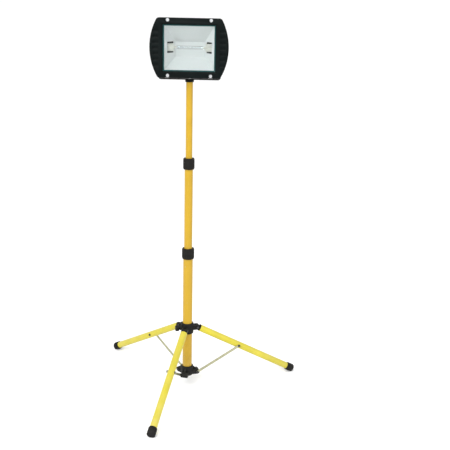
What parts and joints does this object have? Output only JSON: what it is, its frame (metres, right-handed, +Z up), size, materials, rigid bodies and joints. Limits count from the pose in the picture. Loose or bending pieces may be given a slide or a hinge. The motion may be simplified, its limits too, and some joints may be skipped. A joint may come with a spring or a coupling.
{
  "type": "work light",
  "caption": "Floodlight work light: black cast head with bowed bezel and linear halogen lamp, in a tilting stirrup on a yellow telescopic pole with folding tripod legs.",
  "frame": {"origin": "on the pole axis at ground level, between the three feet", "axes": "+Z up along the pole, -Y the way the lamp head faces, +X to the right seen from the front"},
  "size_m": [0.8728, 0.8612, 1.6],
  "materials": {
    "pole_yellow": "golden yellow enamel on steel tube",
    "leg_yellow": "lemon yellow enamel on steel tube",
    "black_casting": "black powder coat on die-cast aluminium",
    "black_steel": "black powder coat on steel strip",
    "black_nylon": "moulded black glass-filled nylon",
    "grey_bush": "natural grey acetal",
    "zinc_steel": "bright zinc plated steel",
    "dark_steel": "blackened steel rivets",
    "brace_steel": "dull zinc plated steel strip",
    "front_glass": "clear toughened glass",
    "quartz": "clear quartz",
    "reflector_sheet": "bright hammered aluminium sheet",
    "gasket_rubber": "dark teal silicone rubber",
    "foot_rubber": "black rubber",
    "ceramic": "white steatite ceramic",
    "brass": "brass"
  },
  "bodies": {
    "stand_base": {"lower_tube": "pole_yellow", "brace_hub": "black_nylon", "hub_pins": "dark_steel", "lower_collet": "black_nylon"},
    "front_brace": {"brace_front": "brace_steel"},
    "right_brace": {"brace_right": "brace_steel"},
    "left_brace": {"brace_left": "brace_steel"},
    "sliding_collar": {"leg_collar": "black_nylon", "collar_pins": "dark_steel"},
    "collar_lock": {"collar_knob": "black_nylon", "collar_knob_screw": "zinc_steel"},
    "lower_twist_lock": {"lower_lock_ring": "black_nylon"},
    "mid_pole": {"mid_tube": "pole_yellow", "mid_bush": "grey_bush", "upper_collet": "black_nylon"},
    "upper_twist_lock": {"upper_lock_ring": "black_nylon"},
    "upper_pole": {"upper_tube": "pole_yellow", "upper_bush": "grey_bush", "head_adapter": "black_casting", "pan_bolt": "zinc_steel", "pan_washer": "zinc_steel", "pan_nut": "zinc_steel"},
    "stirrup_frame": {"stirrup": "black_steel"},
    "lamp_head": {"housing": "black_casting", "bezel": "black_casting", "bezel_screws": "zinc_steel", "glass": "front_glass", "glass_gasket": "gasket_rubber", "reflector": "reflector_sheet", "reflector_ends": "reflector_sheet", "reflector_screws": "zinc_steel", "lamp_tube": "quartz", "lamp_caps": "ceramic", "lampholders": "ceramic", "holder_brackets": "zinc_steel", "junction_box": "black_casting", "box_gasket": "gasket_rubber", "box_cover": "black_casting", "box_screws": "zinc_steel", "terminal_block": "ceramic", "earth_screw": "brass", "cable_gland": "black_nylon", "gland_nut": "black_nylon", "pivot_washers": "grey_bush"},
    "right_tilt_knob": {"tilt_knob_right": "black_nylon", "tilt_bolt_right": "zinc_steel"},
    "left_tilt_knob": {"tilt_knob_left": "black_nylon", "tilt_bolt_left": "zinc_steel"},
    "front_leg": {"leg_front_tube": "leg_yellow", "leg_front_plug": "black_nylon", "leg_front_foot": "foot_rubber", "leg_front_rivet": "dark_steel"},
    "right_leg": {"leg_right_tube": "leg_yellow", "leg_right_plug": "black_nylon", "leg_right_foot": "foot_rubber", "leg_right_rivet": "dark_steel"},
    "left_leg": {"leg_left_tube": "leg_yellow", "leg_left_plug": "black_nylon", "leg_left_foot": "foot_rubber", "leg_left_rivet": "dark_steel"}
  },
  "joints": [
    {"name": "leg_fold", "type": "hinge", "parent": "stand_base", "child": "front_brace", "pos_m": [-0.01027, -0.04278, 0.054], "axis": [-0.9724, 0.2334, 0], "range_deg": [0, 56.11]},
    {"name": "front_leg_pivot", "type": "hinge", "parent": "front_brace", "child": "front_leg", "pos_m": [-0.05532, -0.23044, 0.1605], "axis": [-0.9724, 0.2334, 0], "range_deg": [-113.22, 1]},
    {"name": "collar_lift", "type": "hinge", "parent": "front_leg", "child": "sliding_collar", "pos_m": [-0.01027, -0.04278, 0.267], "axis": [-0.9724, 0.2334, 0], "range_deg": [-1, 57.11]},
    {"name": "right_leg_pivot", "type": "hinge", "parent": "sliding_collar", "child": "right_leg", "pos_m": [0.04219, 0.0125, 0.267], "axis": [0.284, -0.9588, 0], "range_deg": [-57.11, 1]},
    {"name": "right_brace_pivot", "type": "hinge", "parent": "stand_base", "child": "right_brace", "pos_m": [0.04219, 0.0125, 0.054], "axis": [0.284, -0.9588, 0], "range_deg": [-1, 57.11]},
    {"name": "left_leg_pivot", "type": "hinge", "parent": "sliding_collar", "child": "left_leg", "pos_m": [-0.03192, 0.03029, 0.267], "axis": [0.6884, 0.7254, 0], "range_deg": [-57.11, 1]},
    {"name": "left_brace_pivot", "type": "hinge", "parent": "stand_base", "child": "left_brace", "pos_m": [-0.03192, 0.03029, 0.054], "axis": [0.6884, 0.7254, 0], "range_deg": [-1, 57.11]},
    {"name": "collar_knob_turn", "type": "hinge", "parent": "sliding_collar", "child": "collar_lock", "pos_m": [-0.02876, -0.00852, 0.267], "axis": [-0.9588, -0.284, 0], "range_deg": [0, 360]},
    {"name": "lower_lock_turn", "type": "hinge", "parent": "stand_base", "child": "lower_twist_lock", "pos_m": [0, 0, 0.6125], "axis": [0, 0, 1], "range_deg": [0, 180]},
    {"name": "lower_extension", "type": "slide", "parent": "stand_base", "child": "mid_pole", "axis": [0, 0, 1], "range_m": [-0.335, 0]},
    {"name": "upper_lock_turn", "type": "hinge", "parent": "mid_pole", "child": "upper_twist_lock", "pos_m": [0, 0, 1.0065], "axis": [0, 0, 1], "range_deg": [0, 180]},
    {"name": "upper_extension", "type": "slide", "parent": "mid_pole", "child": "upper_pole", "axis": [0, 0, 1], "range_m": [-0.3, 0]},
    {"name": "head_pan", "type": "hinge", "parent": "upper_pole", "child": "stirrup_frame", "pos_m": [0, 0, 1.357], "axis": [0, 0, 1], "continuous": true},
    {"name": "head_tilt", "type": "hinge", "parent": "stirrup_frame", "child": "lamp_head", "pos_m": [0, 0, 1.483], "axis": [-1, 0, 0], "range_deg": [-15, 90]},
    {"name": "right_knob_turn", "type": "hinge", "parent": "lamp_head", "child": "right_tilt_knob", "pos_m": [0.13, 0, 1.483], "axis": [1, 0, 0], "range_deg": [0, 360]},
    {"name": "left_knob_turn", "type": "hinge", "parent": "lamp_head", "child": "left_tilt_knob", "pos_m": [-0.13, 0, 1.483], "axis": [-1, 0, 0], "range_deg": [0, 360]}
  ],
  "couplings": [
    {"joint": "front_leg_pivot", "follows": "leg_fold", "ratio": -2},
    {"joint": "collar_lift", "follows": "leg_fold", "ratio": 1},
    {"joint": "right_leg_pivot", "follows": "leg_fold", "ratio": -1},
    {"joint": "right_brace_pivot", "follows": "leg_fold", "ratio": 1},
    {"joint": "left_leg_pivot", "follows": "leg_fold", "ratio": -1},
    {"joint": "left_brace_pivot", "follows": "leg_fold", "ratio": 1}
  ]
}
